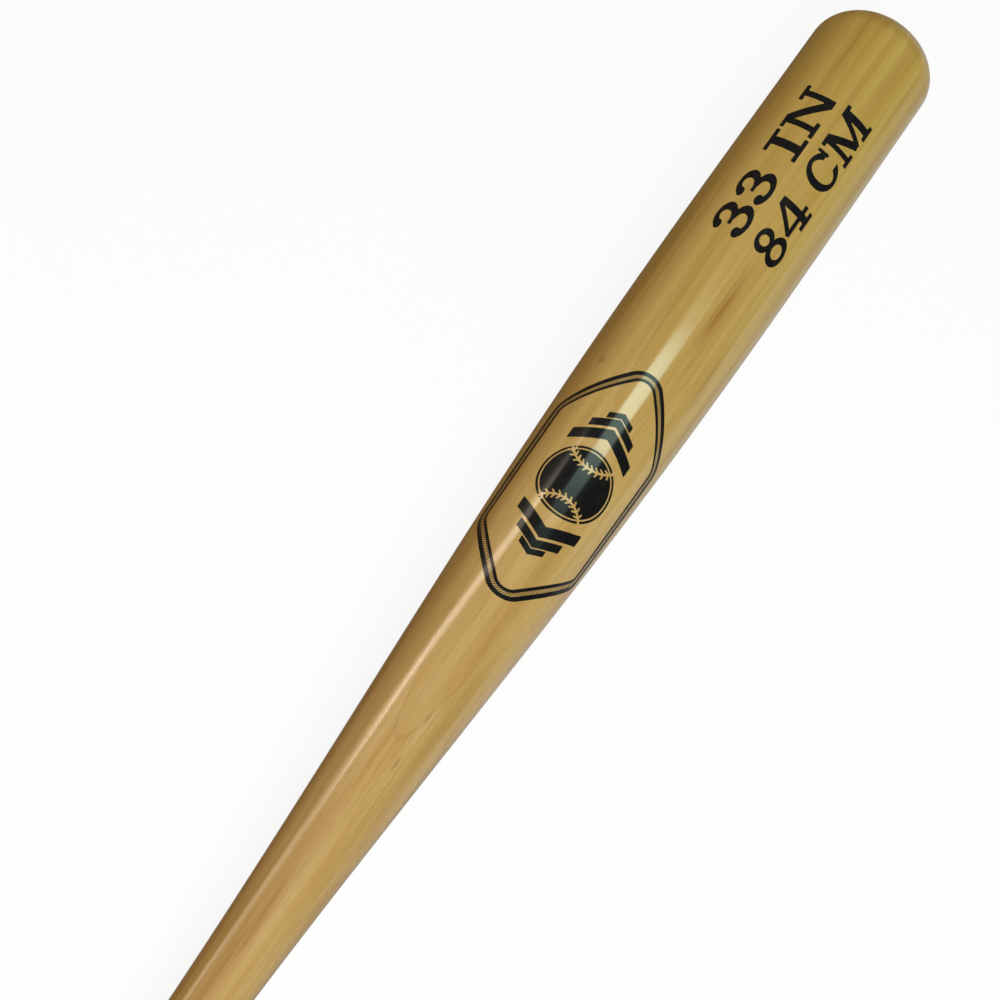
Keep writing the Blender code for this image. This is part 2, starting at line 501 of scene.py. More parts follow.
# Each sign is its width, then its bars, slabs, rings and dots
SIGNS = {
    "I": (
        0.50,
        ("bar", (0.25, 0), (0.25, 1), STEM),
        ("slab", 0.25, 0, 0.50),
        ("slab", 0.25, 1, 0.50),
    ),
    "N": (
        0.98,
        ("bar", (0.17, 0), (0.17, 1), HAIR),
        ("bar", (0.81, 0), (0.81, 1), HAIR),
        ("bar", (0.17, 1.0), (0.81, 0.0), STEM),
        ("slab", 0.14, 1, 0.28),
        ("slab", 0.17, 0, 0.34),
        ("slab", 0.81, 1, 0.34),
    ),
    "C": (
        0.80,
        ("ring", (0.42, 0.5), (0.42, 0.5), 0.19, 0.125, ((0.55, 1), (0.30, 0.68))),
        ("bar", (0.76, 0.62), (0.76, 0.98), 0.08),
    ),
    "M": (
        1.14,
        ("bar", (0.17, 0), (0.17, 1), HAIR),
        ("bar", (0.95, 0), (0.95, 1), STEM),
        ("bar", (0.20, 1.02), (0.57, 0.06), STEM),
        ("bar", (0.57, 0.06), (0.92, 1.02), HAIR),
        ("slab", 0.15, 1, 0.28),
        ("slab", 0.17, 0, 0.34),
        ("slab", 1.00, 1, 0.28),
        ("slab", 0.95, 0, 0.38),
    ),
    "3": (
        0.68,
        ("ring", (0.33, 0.735), (0.30, 0.265), STEM, 0.12, ((-1, 0.33), (0, 0.82))),
        ("ring", (0.33, 0.285), (0.35, 0.285), STEM, 0.125, ((-1, 0.33), (0.20, 1))),
        ("bar", (0.20, 0.52), (0.40, 0.52), 0.10),
        ("dot", (0.13, 0.79), 0.10),
        ("dot", (0.11, 0.22), 0.11),
    ),
    "8": (
        0.72,
        ("ring", (0.36, 0.745), (0.30, 0.255), 0.17, 0.11),
        ("ring", (0.36, 0.28), (0.36, 0.28), STEM, 0.125),
    ),
    "4": (
        0.82,
        ("bar", (0.56, 0), (0.56, 1), STEM),
        ("bar", (0.54, 1.04), (0.02, 0.28), HAIR),
        ("bar", (0, 0.29), (0.82, 0.29), HAIR),
        ("slab", 0.56, 0, 0.46),
    ),
}
SPACE = 0.26
SIGN_GAP = 0.10


def sign_field(u, v, sign):
    """One sign of height 1, with its lower left corner at the origin."""
    field = np.full(u.shape, np.inf)
    for kind, *sizes in SIGNS[sign][1:]:
        if kind == "bar":
            part = bar_field(u, v, *sizes)
        elif kind == "ring":
            part = ring_field(u, v, *sizes)
        elif kind == "slab":
            middle, foot, width = sizes
            height = SLAB / 2 if foot == 0 else 1 - SLAB / 2
            part = bar_field(u, v, (middle - width / 2, height), (middle + width / 2, height), SLAB)
        else:
            part = np.hypot(u - sizes[0][0], v - sizes[0][1]) - sizes[1]
        field = np.minimum(field, part)
    return np.maximum(field, np.abs(v - 0.5) - 0.5)


def line_field(u, v, words, foot):
    """A line of signs, widened to fill the mark's length."""
    widths = [SPACE if sign == " " else SIGNS[sign][0] for sign in words]
    gaps = SIGN_GAP * (len(words) - 1)
    stretch = (LENGTH_MARK_LENGTH / SIGN_HEIGHT - gaps) / sum(widths)
    field = np.full(u.shape, np.inf)
    at = 0.0
    for sign, width in zip(words, widths):
        if sign != " ":
            local_u = ((u - LENGTH_MARK_START) / SIGN_HEIGHT - at) / stretch
            local = sign_field(local_u, (v - foot) / SIGN_HEIGHT, sign)
            field = np.minimum(field, local * SIGN_HEIGHT)
        at += width * stretch + SIGN_GAP
    return field


def length_mark_field(u, v):
    """The bat's length in two units, one line above the other."""
    upper = line_field(u, v, "33 IN", UPPER_LINE_FOOT)
    return np.minimum(upper, line_field(u, v, "84 CM", LOWER_LINE_FOOT))


def frame_corners(inset):
    """The centre mark's long six-sided frame, moved inwards, about the mark's middle."""
    end, side, shoulder = FRAME_HALF_LENGTH, FRAME_HALF_WIDTH, FRAME_SHOULDER
    slanted = math.hypot(end - shoulder, side)
    end -= inset * slanted / side
    shoulder -= inset * (slanted - (FRAME_HALF_LENGTH - FRAME_SHOULDER)) / FRAME_HALF_WIDTH
    side -= inset
    half = [(end, 0), (shoulder, side), (-shoulder, side)]
    return half + [(-u, -v) for u, v in half]


def ball_field(u, v):
    """A ball with a fine line inside its edge, two bare seams and bare stitches."""
    from_middle = np.hypot(u, v)
    line = BALL_LINE / 2 - np.abs(from_middle - BALL_RADIUS + BALL_LINE_INSET)
    ball = np.maximum(from_middle - BALL_RADIUS, line)
    for side in (-1, 1):
        middle = side * BALL_SEAM_MIDDLE
        seam = BALL_SEAM / 2 - np.abs(np.hypot(u - middle, v) - BALL_SEAM_RADIUS)
        ball = np.maximum(ball, seam)
        for degrees in range(-44, 45, 11):
            angle = math.radians(degrees if side < 0 else 180 - degrees)
            foot = (middle + BALL_SEAM_RADIUS * math.cos(angle), BALL_SEAM_RADIUS * math.sin(angle))
            for way, lean in ((0, STITCH_LEAN), (math.pi, -STITCH_LEAN)):
                away = angle + way - lean * side
                reach = (STITCH_LENGTH * math.cos(away), STITCH_LENGTH * math.sin(away))
                tip = (foot[0] + reach[0], foot[1] + reach[1])
                ball = np.maximum(ball, -bar_field(u, v, foot, tip, STITCH_WIDTH))
    return ball


def centre_mark_field(u, v):
    """A stitched ball between chevrons, in a frame of two lines."""
    u = u - CENTRE_MARK_X
    edge = polygon_field(u, v, frame_corners(FRAME_ROUNDING)) - FRAME_ROUNDING
    outer_line = np.abs(edge + OUTER_LINE / 2) - OUTER_LINE / 2
    inner_line = np.abs(edge + OUTER_LINE + HATCHED_BAND + INNER_LINE / 2) - INNER_LINE / 2
    field = np.minimum(np.minimum(outer_line, inner_line), ball_field(u, v))
    beside_ball = BALL_RADIUS + BARE_ROUND_BALL - np.hypot(u, v)
    for start, thickness, height in CHEVRONS:
        along = np.abs(u) + CHEVRON_SLOPE * (np.abs(v) - height / 2) - start
        chevron = np.maximum(np.maximum(-along, along - thickness), np.abs(v) - height / 2)
        field = np.minimum(field, np.maximum(chevron, beside_ball))
    return field


def frame_hatch():
    """Node group: slanted bars side by side along a closed outline with its corners rounded."""
    sizes = ("Corner Radius", "Spacing", "Bar Length", "Bar Width", "Slant", "Thickness")
    inputs = GEOMETRY + [(name, "Float") for name in sizes] + [("Finish", "Material")]
    tree, given, result = new_tree("frame_hatch", "GeometryNodeTree", inputs, GEOMETRY)
    curve = add(tree, "GeometryNodeMeshToCurve", [given["Geometry"]])
    rounding = {"Curve": curve, "Radius": given["Corner Radius"], "Count": 12}
    rounded = add(tree, "GeometryNodeFilletCurve", rounding, mode="POLY")
    spacing = {"Curve": rounded, "Length": given["Spacing"]}
    spread = add(tree, "GeometryNodeResampleCurve", spacing, mode="LENGTH")
    sides = [given["Bar Width"], given["Bar Length"], given["Thickness"]]
    size = add(tree, "ShaderNodeCombineXYZ", sides)
    # Divided along its length, so that it can follow the round
    bar = add(tree, "GeometryNodeMeshCube", {"Size": size, "Vertices Y": 7})
    forward = add(tree, "GeometryNodeInputTangent")
    along_path = add(tree, "FunctionNodeAlignEulerToVector", {"Vector": forward}, pivot_axis="Z")
    slant = add(tree, "ShaderNodeCombineXYZ", {2: given["Slant"]})
    turned = add(tree, "FunctionNodeRotateEuler", [along_path, slant], space="LOCAL")
    placing = {"Points": spread, "Instance": bar, "Rotation": turned}
    bars = add(tree, "GeometryNodeInstanceOnPoints", placing)
    real = add(tree, "GeometryNodeRealizeInstances", [bars])
    finished = add(tree, "GeometryNodeSetMaterial", {0: real, "Material": given["Finish"]})
    feed(result, [finished])
    return tree


def filled(field_of, u_range, v_range):
    """Flat faces that fill a field's inside, cut to its outline. Returns their points, and them."""
    us = np.arange(u_range[0], u_range[1] + INK_GRID, INK_GRID)
    vs = np.arange(v_range[0], v_range[1] + INK_GRID, INK_GRID)
    field = field_of(*np.meshgrid(us, vs, indexing="ij"))
    inside = field < 0
    points, index, faces = [], {}, []

    def vertex(key, u, v):
        if key not in index:
            index[key] = len(points)
            points.append((u, v))
        return index[key]

    touched = inside[:-1, :-1] | inside[1:, :-1] | inside[:-1, 1:] | inside[1:, 1:]
    for i, j in np.argwhere(touched).tolist():
        corners = [(i, j), (i + 1, j), (i + 1, j + 1), (i, j + 1)]
        face = []
        for (a, b), (c, d) in zip(corners, corners[1:] + corners[:1]):
            if inside[a, b]:
                face.append(vertex((a, b), us[a], vs[b]))
            if inside[a, b] != inside[c, d]:
                share = field[a, b] / (field[a, b] - field[c, d])
                share = min(max(share, LEAST_SHARE), 1 - LEAST_SHARE)
                key = (min(a, c), min(b, d), "across" if a == c else "along")
                place = (us[a] + (us[c] - us[a]) * share, vs[b] + (vs[d] - vs[b]) * share)
                face.append(vertex(key, *place))
        faces.append(face)
    return np.array(points), faces


def on_bat(points, outline):
    """Places and outward normals on the bat for points of the unrolled surface, in metres."""
    distance, radius = outline
    along = points[:, 0] * MM
    here = np.interp(along, distance, radius)
    lean = np.interp(along, distance, np.gradient(radius, distance))
    angle = points[:, 1] * MM / here
    normal = np.stack([-lean, np.sin(angle), np.cos(angle)], axis=1)
    normal /= np.linalg.norm(normal, axis=1)[:, None]
    return np.stack([along, here * np.sin(angle), here * np.cos(angle)], axis=1), normal


def wrapped_film(points, faces, outline):
    """A thin closed film of ink over flat faces, bent round the bat. Returns its mesh."""
    skin, normal = on_bat(points, outline)
    top = skin + normal * INK_PROUD * MM
    bottom = skin - normal * INK_SUNK * MM
    count = len(points)
    edges = {(a, b) for face in faces for a, b in zip(face, face[1:] + face[:1])}
    rims = sorted((a, b) for a, b in edges if (b, a) not in edges)
    inner = [[corner + count for corner in face[::-1]] for face in faces]
    walls = [(b, a, a + count, b + count) for a, b in rims]
    mesh = bpy.data.meshes.new("ink")
    mesh.from_pydata(np.concatenate([top, bottom]).tolist(), [], faces + inner + walls)
    smooth = [True] * (len(faces) + len(inner)) + [False] * len(walls)
    mesh.polygons.foreach_set("use_smooth", smooth)
    shade(mesh, np.concatenate([normal, -normal]))
    return mesh


def wrapped_hatch(outline, ink):
    """The slanted bars between the two lines of the frame, made flat and bent round the bat."""
    inset = OUTER_LINE + HATCHED_BAND / 2
    corners = [(CENTRE_MARK_X + u, v, 0) for u, v in frame_corners(inset)]
    path = bpy.data.meshes.new("frame_path")
    path.from_pydata(corners, [(number, (number + 1) % 6) for number in range(6)], [])
    values = {
        "Corner Radius": FRAME_ROUNDING - inset,
        "Spacing": HATCH_SPACING,
        "Bar Length": HATCH_BAR_LENGTH,
        "Bar Width": HATCH_BAR_WIDTH,
        "Slant": HATCH_SLANT,
        "Thickness": INK_PROUD + INK_SUNK,
        "Finish": ink,
    }
    mesh = made_by(frame_hatch(), values, "frame_hatch", path)
    places = np.array([vertex.co for vertex in mesh.vertices])
    skin, normal = on_bat(places, outline)
    lift = (INK_PROUD - INK_SUNK) / 2 - HATCH_DROP
    bent = skin + normal * (places[:, 2:] + lift) * MM
    mesh.vertices.foreach_set("co", bent.ravel())
    mesh.update()
    return mesh


def print_marks(outline, ink):
    """The two marks, each by its middle, half length and half width, and the frame's hatching."""
    length_mark_x = LENGTH_MARK_START + LENGTH_MARK_LENGTH / 2
    marks = (
        ("printed_length_mark", length_mark_field, length_mark_x, 52, 24),
        ("printed_centre_mark", centre_mark_field, CENTRE_MARK_X, 69, 37),
    )
    for name, field_of, middle, half_length, half_width in marks:
        ends = (middle - half_length, middle + half_length)
        mesh = wrapped_film(*filled(field_of, ends, (-half_width, half_width)), outline)
        mesh.materials.append(ink)
        put_on(mesh, name)
    put_on(wrapped_hatch(outline, ink), "printed_frame_hatch")


# Materials


def strip_address():
    """Node group: where in the billet a point lies, which is given in millimetres.

    It gives the numbers of the layer and the strip, and the share across each.
    """
    outputs = [(name, "Float") for name in ("Layer", "Strip", "Across Layer", "Across Strip")]
    inputs = [("Place", "Vector")]
    tree, given, result = new_tree("strip_address", "ShaderNodeTree", inputs, outputs)
    place = add(tree, "ShaderNodeSeparateXYZ", [given["Place"]])
    thickness = STRIP_THICKNESS / MM
    width = STRIP_WIDTH / MM
    left = (BILLET_OFFSET - BILLET_SIDE / 2) / MM
    up = [place.outputs[2], 1 / thickness, LAYERS / 2]
    raised = add(tree, MATH, up, operation="MULTIPLY_ADD")
    layer = add(tree, MATH, [raised], operation="FLOOR")
    in_layer = add(tree, MATH, [raised], operation="FRACT")
    # The odd layers begin with a whole strip and the others with the half one
    odd = add(tree, MATH, [layer, 2.0], operation="MODULO")
    shift = add(tree, MATH, [odd, -0.5, 0.5], operation="MULTIPLY_ADD")
    across = [place.outputs[1], 1 / width, -left / width]
    counted = add(tree, MATH, across, operation="MULTIPLY_ADD")
    shifted = add(tree, MATH, [counted, shift], operation="ADD")
    strip = add(tree, MATH, [shifted], operation="FLOOR")
    in_strip = add(tree, MATH, [shifted], operation="FRACT")
    feed(result, [layer, strip, in_layer, in_strip])
    return tree


def wood_spot():
    """Node group: how much of a soft long spot is at a point. A seam may cut off one side of it."""
    names = ("Along", "Across", "Half Length", "Half Width", "Edge", "Strength")
    inputs = [("Place", "Vector")] + [(name, "Float") for name in names]
    tree, given, result = new_tree("wood_spot", "ShaderNodeTree", inputs, [("Amount", "Float")])
    place = add(tree, "ShaderNodeSeparateXYZ", [given["Place"]]).outputs
    away = add(tree, MATH, [place[0], given["Along"]], operation="SUBTRACT")
    far = add(tree, MATH, [away, given["Half Length"]], operation="DIVIDE")
    aside = add(tree, MATH, [place[1], given["Across"]], operation="SUBTRACT")
    wide = add(tree, MATH, [aside, given["Half Width"]], operation="DIVIDE")
    far_squared = add(tree, MATH, [far, far], operation="MULTIPLY")
    total = add(tree, MATH, [wide, wide, far_squared], operation="MULTIPLY_ADD")
    # A fifth of it is left at its half length or half width
    falling = add(tree, MATH, [total, -1.6], operation="MULTIPLY")
    spot = add(tree, MATH, [falling], operation="EXPONENT")
    # Past a seam it is gone within 0.6 mm
    over = add(tree, MATH, [aside, given["Edge"]], operation="MULTIPLY")
    kept = add(tree, MAP_RANGE, [over, 0.0, 0.6, 1.0, 0.0])
    upper = add(tree, MATH, [place[2], 0.0], operation="GREATER_THAN")
    sided = add(tree, MATH, [spot, kept], operation="MULTIPLY")
    placed = add(tree, MATH, [sided, upper], operation="MULTIPLY")
    amount = add(tree, MATH, [placed, given["Strength"]], operation="MULTIPLY")
    feed(result, [amount])
    return tree


def strongest(tree, spot_tree, place, spots):
    """Adds a row of spots to a material. Returns the amount of the strongest of them."""
    most = None
    for values in spots:
        spot = add(tree, "ShaderNodeGroup", [place, *values], node_tree=spot_tree)
        most = spot if most is None else add(tree, MATH, [most, spot], operation="MAXIMUM")
    return most


# Spots on the printed side, in millimetres: place along, place across, half length, half width, the
# side on which a seam cuts it off sharply (1 at +Y, -1 at -Y, 0 for none), and how strong it is
PALE_BANDS = (
    (600.0, 16.8, 220.0, 4.0, 0.0, 0.50),
    (700.0, -16.6, 180.0, 3.0, 0.0, 0.28),
    (455.0, -17.5, 35.0, 5.0, 0.0, 0.30),
    (395.0, 7.5, 55.0, 4.5, 0.0, 0.35),
)
BROWN_STAINS = (
    (335.0, -14.0, 75.0, 2.5, 0.0, 0.33),
    (635.0, -8.8, 26.0, 3.4, 0.0, 1.0),
    (652.0, -7.4, 15.0, 1.2, 0.0, 0.5),
    (605.0, -22.3, 22.0, 1.6, 0.0, 0.55),
    (800.0, 12.9, 30.0, 1.0, -1.0, 0.7),
    (800.0, -12.0, 45.0, 2.5, 0.0, 0.3),
    (790.0, -22.6, 30.0, 1.5, 0.0, 0.4),
    (437.0, -8.2, 22.0, 1.8, 0.0, 0.4),
    (270.0, 3.5, 80.0, 5.0, 0.0, 0.7),
    (369.0, -6.3, 5.0, 0.7, 0.0, 0.8),
    (394.0, -6.2, 4.0, 0.6, 0.0, 0.7),
    (585.0, 23.1, 2.6, 1.3, 0.0, 1.0),
)


def lacquered_bamboo():
    """Bamboo strips, glued, turned and sanded, under a dipped coat of clear gloss lacquer.

    The fibres run along the bat, so the sides show long fine streaks and the ends show the cut
    bundles as dots. The lacquer gives sharp highlights over the softer sheen of the fibres.
    """
    material = bpy.data.materials.new("lacquered_bamboo")
    material.use_nodes = True
    tree = material.node_tree
    shader = tree.nodes["Principled BSDF"]
    object_place = add(tree, "ShaderNodeTexCoord").outputs["Object"]
    place = add(tree, VECTOR_MATH, [object_place, (1 / MM, 1 / MM, 1 / MM)], operation="MULTIPLY")

    address = add(tree, "ShaderNodeGroup", [place], node_tree=strip_address())
    layer, strip, across_layer, across_strip = address.outputs
    # The last number picks one pattern of chance among many
    number = add(tree, "ShaderNodeCombineXYZ", [layer, strip, 3.7])
    luck = add(tree, "ShaderNodeTexWhiteNoise", [number], noise_dimensions="3D").outputs["Color"]
    chance = add(tree, "ShaderNodeSeparateXYZ", [luck]).outputs
    # Each strip's pattern is shifted by chance, up to 900 mm along and 300 mm across
    shifts = [luck, (900.0, 300.0, 300.0), place]
    own_place = add(tree, VECTOR_MATH, shifts, operation="MULTIPLY_ADD")

    # Slow colour changes, streaks and single fibres: length and width in millimetres, then how
    # much detail each has and how rough it is
    patterns = []
    for long, wide, detail, rough in ((300, 8, 2.0, 0.5), (260, 2, 3.0, 0.6), (90, 0.4, 2.0, 0.5)):
        stretch = (1 / long, 1 / wide, 1 / wide)
        stretched = add(tree, VECTOR_MATH, [own_place, stretch], operation="MULTIPLY")
        settings = {"Vector": stretched, "Scale": 1.0, "Detail": detail, "Roughness": rough}
        patterns.append(add(tree, "ShaderNodeTexNoise", settings))
    broad, streaks, fibres = patterns

    tone = add(tree, MAP_RANGE, [chance[0], 0.0, 1.0, 0.03, -0.03])
    toned = add(tree, MATH, [broad, 0.55, 0.10], operation="MULTIPLY_ADD")
    toned = add(tree, MATH, [toned, tone], operation="ADD")
    streaked = add(tree, MATH, [streaks, 0.20, toned], operation="MULTIPLY_ADD")
    streaked = add(tree, MATH, [fibres, 0.10, streaked], operation="MULTIPLY_ADD")
    wood = add(tree, "ShaderNodeValToRGB", [streaked])
    stops = wood.color_ramp.elements
    stops[0].position, stops[0].color = 0.30, linear("#AD853F")
    stops[1].position, stops[1].color = 0.74, linear("#D3B172")
    stops.new(0.46).color = linear("#BE9751")
    stops.new(0.58).color = linear("#C9A461")
    # Long paler bands along the bat
    spot_tree = wood_spot()
    pale = strongest(tree, spot_tree, place, PALE_BANDS)
    colour = add(tree, MIX, {0: pale, 6: wood, 7: linear("#E1BD73")}, data_type="RGBA").outputs[2]
    # Painted sheen: the colour is paler towards the handle, where a whiter sheen is painted in, and
    # yellower towards the tip
    along = add(tree, "ShaderNodeSeparateXYZ", [place])
    greenness = add(tree, MAP_RANGE, [along, 400.0, 800.0, 1.05, 1.12])
    blueness = add(tree, MAP_RANGE, [along, 400.0, 800.0, 1.22, 0.82])
    painted_sheen_tint = add(tree, "ShaderNodeCombineXYZ", [1.0, greenness, blueness])
    colour = add(tree, VECTOR_MATH, [colour, painted_sheen_tint], operation="MULTIPLY")

    # Vascular bundles: brown threads 0.2 to 0.5 mm thick, thicker towards the culm's outer side
    stretch = (1 / 160, 1 / 0.9, 1 / 0.9)
    stretched = add(tree, VECTOR_MATH, [own_place, stretch], operation="MULTIPLY")
    settings = {"Vector": stretched, "Scale": 1.0, "Randomness": 1.0}
    bundles = add(tree, "ShaderNodeTexVoronoi", settings).outputs["Distance"]
    thick = add(tree, MAP_RANGE, [across_layer, 0.0, 1.0, 0.10, 0.26])
    near = add(tree, MATH, [thick, bundles], operation="SUBTRACT")
    thread = add(tree, MAP_RANGE, [near, -0.06, 0.06, 0.0, 0.22])

    # Stains at the culm's nodes and along some seams, broken up by the streaks
    stain = strongest(tree, spot_tree, place, BROWN_STAINS)
    broken = add(tree, MAP_RANGE, [streaks, 0.35, 0.65, 0.95, 0.5])
    stain = add(tree, MATH, [stain, broken], operation="MULTIPLY")

    # Glue lines 0.2 mm wide, a little darker than the bamboo
    line = None
    for share, size in ((across_layer, STRIP_THICKNESS), (across_strip, STRIP_WIDTH)):
        other = add(tree, MATH, [1.0, share], operation="SUBTRACT")
        nearer = add(tree, MATH, [share, other], operation="MINIMUM")
        millimetres = add(tree, MATH, [nearer, size / MM], operation="MULTIPLY")
        mask = add(tree, MAP_RANGE, [millimetres, 0.05, 0.14, 0.12, 0.0])
        line = mask if line is None else add(tree, MATH, [line, mask], operation="MAXIMUM")

    # End grain drinks more lacquer and looks darker
    normal = add(tree, "ShaderNodeNewGeometry").outputs["Normal"]
    endwise = add(tree, MATH, [add(tree, "ShaderNodeSeparateXYZ", [normal])], operation="ABSOLUTE")
    soaked = add(tree, MAP_RANGE, [endwise, 0.45, 0.98, 0.0, 0.3])
    darker = ((thread, "#8A6030"), (stain, "#9A6A2A"), (line, "#7C5426"), (soaked, "#8F6630"))
    for share, code in darker:
        mixed = add(tree, MIX, {0: share, 6: colour, 7: linear(code)}, data_type="RGBA")
        colour = mixed.outputs[2]

    # Wood that lacquer has soaked into hardly shines of its own
    grain = {"Strength": 0.25, "Distance": 0.05 * MM, "Height": fibres}
    feed(shader, {"Base Color": colour, "Roughness": 0.5, "Specular IOR Level": 0.1, "IOR": 1.5})
    feed(shader, {"Normal": add(tree, "ShaderNodeBump", grain)})
    # The dipped coat is level but for a slight swell, about 12 mm from crest to crest
    swell = add(tree, "ShaderNodeTexNoise", {"Vector": place, "Scale": 1 / 12, "Detail": 1.0})
    swelling = {"Strength": 0.2, "Distance": 0.1 * MM, "Height": swell}
    feed(shader, {"Coat Weight": 1.0, "Coat Roughness": 0.125, "Coat IOR": 1.5})
    feed(shader, {"Coat Normal": add(tree, "ShaderNodeBump", swelling)})
    return material


def printed_ink():
    """Black screen-printing ink on the sanded bamboo, dipped under the same clear gloss lacquer."""
    material = bpy.data.materials.new("printed_ink")
    material.use_nodes = True
    tree = material.node_tree
    shader = tree.nodes["Principled BSDF"]
    object_place = add(tree, "ShaderNodeTexCoord").outputs["Object"]
    stretch = (1 / MM / 8, 1 / MM, 1 / MM)
    place = add(tree, VECTOR_MATH, [object_place, stretch], operation="MULTIPLY")
    thin = add(tree, "ShaderNodeTexNoise", {"Vector": place, "Scale": 1.2, "Detail": 3.0})
    cover = add(tree, "ShaderNodeValToRGB", [thin])
    stops = cover.color_ramp.elements
    stops[0].position, stops[0].color = 0.30, linear("#1C1916")
    stops[1].position, stops[1].color = 0.52, linear("#0C0D10")
    feed(shader, {"Base Color": cover, "Roughness": 0.5, "Specular IOR Level": 0.15, "IOR": 1.5})
    feed(shader, {"Coat Weight": 0.45, "Coat Roughness": 0.15})
    return material


# The share of the paper's white that the camera sees in any light. The room behind is as bright
PAPER_GLOW = 0.90
# The share that the lacquer mirrors: on the side away from the soft lamps, and on the lit side
# beside the barrel and beside the handle. The smaller shares away from the lamps and by the handle
# are painted shade
FAR_SHINE = 0.13
LIT_SHINE = 0.22
HANDLE_SHINE = 0.09
# How bright the room is for all but the camera
ROOM_LIGHT = 0.10
# What the lamps are aimed at, on the bat's axis
TAPER_MIDDLE = (0.4, 0, 0)


def studio_paper():
    """Matt backdrop paper. It reads white, keeps the bat's soft shadow and shines back little."""
    material = bpy.data.materials.new("studio_paper")
    material.use_nodes = True
    tree = material.node_tree
    tree.nodes.clear()
    path = add(tree, "ShaderNodeLightPath").outputs
    seen = path["Is Camera Ray"]
    object_place = add(tree, "ShaderNodeTexCoord").outputs["Object"]
    place = add(tree, "ShaderNodeSeparateXYZ", [object_place]).outputs
    # Painted shade: away from the soft lamps it is darker for all but the camera,
    # and its reflection in the lacquer is painted warm
    lit_side = add(tree, MAP_RANGE, [place[1], -0.03, 0.04, 1.0, 0.0])
    # Painted shade: beside the handle the lit side is darker too
    by_handle = add(tree, MAP_RANGE, [place[0], 0.36, 0.44, 1.0, 0.0])
    shaded = add(tree, MATH, [lit_side, by_handle], operation="MULTIPLY")
    shine = add(tree, MATH, [lit_side, LIT_SHINE - FAR_SHINE, FAR_SHINE], operation="MULTIPLY_ADD")
    shine = add(tree, MATH, [shaded, HANDLE_SHINE - LIT_SHINE, shine], operation="MULTIPLY_ADD")
    glossy = add(tree, MATH, [path["Is Glossy Ray"], shine], operation="MULTIPLY")
    share = add(tree, MATH, [seen, PAPER_GLOW, glossy], operation="MULTIPLY_ADD")
    brown, pale, grey = linear("#6B5230"), linear("#B8B8B6"), linear("#9A9A9A")
    warm, white = linear("#FFF3B0"), linear("#FFFFFF")
    unseen = add(tree, MIX, {0: lit_side, 6: brown, 7: pale}, data_type="RGBA").outputs[2]
    unseen = add(tree, MIX, {0: shaded, 6: unseen, 7: grey}, data_type="RGBA").outputs[2]
    tone = add(tree, MIX, {0: seen, 6: unseen, 7: white}, data_type="RGBA").outputs[2]
    matt = add(tree, "ShaderNodeBsdfDiffuse", {"Color": tone})
    neutral = add(tree, MATH, [seen, lit_side], operation="MAXIMUM")
    shown = add(tree, MIX, {0: neutral, 6: warm, 7: white}, data_type="RGBA").outputs[2]
    glow = add(tree, "ShaderNodeEmission", {"Color": shown, "Strength": 1.0})
    mixed = add(tree, "ShaderNodeMixShader", [share, matt, glow])
    add(tree, "ShaderNodeOutputMaterial", {"Surface": mixed})
    return material


# Stage, lamps and camera


def lay_floor(outline):
    """The paper touches the bat under the knob and under the barrel, so it tilts a little."""
    distance, radius = outline
    beyond_knob = distance > HANDLE_MIDDLE
    slopes = (radius[beyond_knob] - KNOB_RADIUS) / (distance[beyond_knob] - CROWN_HEIGHT)
    slope = float(slopes.max())
    half = 4.0  # of the sheet's side, in metres
    middle = LENGTH / 2
    corners = []
    for side_x, side_y in ((-1, -1), (1, -1), (1, 1), (-1, 1)):
        x = middle + half * side_x
        corners.append((x, half * side_y, -KNOB_RADIUS - slope * (x - CROWN_HEIGHT)))
    mesh = bpy.data.meshes.new("paper_floor")
    mesh.from_pydata(corners, [], [(0, 1, 2, 3)])
    mesh.materials.append(studio_paper())
    new_object("paper_floor", mesh)


def set_down(holder, place, right, up, back):
    """Places a camera or a lamp. It looks away from back."""
    turned = Matrix((right, up, back)).transposed().to_4x4()
    holder.matrix_world = Matrix.Translation(place) @ turned


def hang_lamp(name, place, target, along, size, power, colour):
    """A rectangular lamp aimed at a point, with its first side lying along a direction."""
    lamp = bpy.data.lights.new(name, "AREA")
    lamp.shape = "RECTANGLE"
    lamp.size, lamp.size_y = size
    lamp.energy = power
    lamp.color = linear(colour)[:3]
    holder = new_object(name, lamp)
    back = (Vector(place) - Vector(target)).normalized()
    side = (Vector(along) - back * back.dot(Vector(along))).normalized()
    set_down(holder, place, side, back.cross(side), back)
    holder.visible_camera = False
    return holder


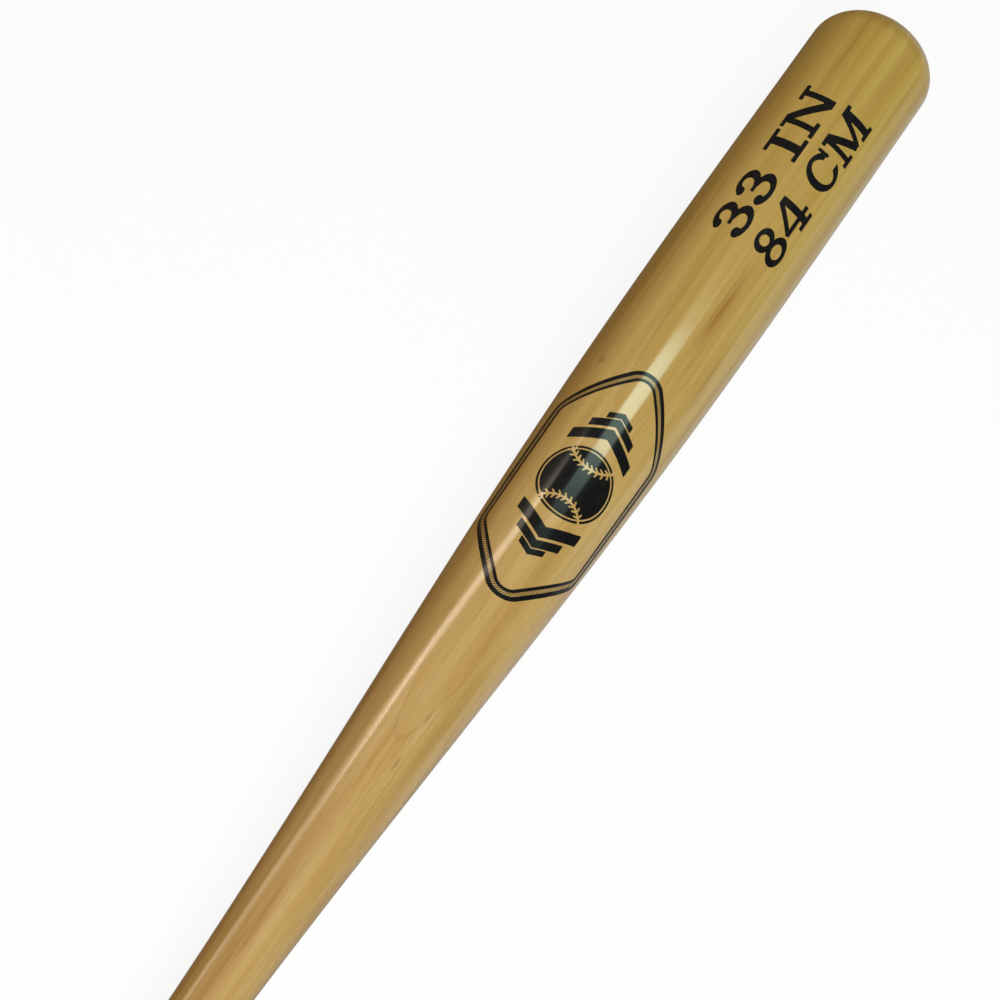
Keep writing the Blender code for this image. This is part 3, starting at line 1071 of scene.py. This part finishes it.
def light_studio():
    """The room, the two lamps that the gloss mirrors, and the soft ones that give the light."""
    world = bpy.data.worlds.new("studio")
    world.use_nodes = True
    bpy.context.scene.world = world
    # As white as the paper behind its far edge, and a dim room for everything but the camera
    tree = world.node_tree
    seen = add(tree, "ShaderNodeLightPath").outputs["Is Camera Ray"]
    tone = add(tree, MIX, {0: seen, 6: linear("#FFF3E2"), 7: linear("#FFFFFF")}, data_type="RGBA")
    strength = add(tree, MIX, {0: seen, 2: ROOM_LIGHT, 3: PAPER_GLOW})
    feed(tree.nodes["Background"], {"Color": tone.outputs[2], "Strength": strength})
    # The cool panel whose reflection lies along the top of the barrel
    place, target, size = (1.23, -0.036, 1.5), (0.56, 0, 0.03), (0.25, 0.66)
    panel = hang_lamp("panel", place, target, (1, 0, 0), size, 4.0, "#DDFFEE")
    panel.visible_diffuse = False
    # The long warm tube whose reflection runs down the taper. Its lower end is dimmer
    tube_middle = Vector((0.90, 1.553, 1.058))
    tube_way = Vector((0.498, 0, 0.867))
    for name, start, end, width, watts_per_metre in (
        ("tube_low", -0.95, -0.20, 0.22, 2.3),
        ("tube_middle", -0.20, 0.05, 0.22, 3.6),
        ("tube_high", 0.05, 0.95, 0.18, 5.0),
    ):
        place = tube_middle + tube_way * (start + end) / 2
        size, power = (end - start, width), watts_per_metre * (end - start)
        tube = hang_lamp(name, place, TAPER_MIDDLE, tube_way, size, power, "#FFEFD9")
        tube.visible_diffuse = False
    # Soft lights over the handle and beside the bat. The lacquer shows no reflection of them
    for name, place, size, power, colour in (
        ("soft_above", (-0.2, -0.34, 1.25), (1.2, 1.0), 19.6, "#FAFCFF"),
        ("soft_beside", (0.8, -1.45, 0.5), (1.6, 0.8), 3, "#FFFFFF"),
        ("soft_end", (1.6, -0.3, 0.8), (0.8, 0.8), 3.1, "#FFF6EC"),
        ("warm_beside", (0.5, 1.4, 0.6), (1.6, 0.5), 4.5, "#FFC070"),
    ):
        lamp = hang_lamp(name, place, TAPER_MIDDLE, (1, 0, 0), size, power, colour)
        lamp.visible_glossy = False


def point_camera():
    """The photograph's view: the bat leans 25 degrees to the picture, its handle nearer."""
    lean = math.radians(25)
    foot_along = 0.5072  # the point of the bat's plane in the middle of the picture
    foot_across = 0.0233
    camera_distance = 1.2916
    focal_pixels = 2865
    picture_side = 1000
    turn = math.radians(54.3)  # of the bat's axis in the picture, from level
    camera = bpy.data.cameras.new("camera")
    camera.sensor_width = 36
    camera.lens = camera.sensor_width * focal_pixels / picture_side
    holder = new_object("camera", camera)
    forward = Vector((math.sin(lean), 0, -math.cos(lean)))
    bat_way = Vector((math.cos(lean), 0, math.sin(lean)))
    across = Vector((0, 1, 0))
    right = bat_way * math.cos(turn) - across * math.sin(turn)
    up = bat_way * math.sin(turn) + across * math.cos(turn)
    place = Vector((foot_along, foot_across, 0)) - forward * camera_distance
    set_down(holder, place, right, up, -forward)
    bpy.context.scene.camera = holder


def main():
    """Dresses the solids, prints the marks and sets the stage."""
    bamboo = lacquered_bamboo()
    tree, sizes = turned_bat()
    turned = made_by(tree, {**sizes, "Segments": SEGMENTS, "Finish": bamboo}, "turned_surface")
    outline = outline_of(turned)
    glue_up(turned, bamboo)
    print_marks(outline, printed_ink())
    lay_floor(outline)
    light_studio()
    point_camera()
    bpy.context.scene.view_settings.view_transform = "Standard"


main()
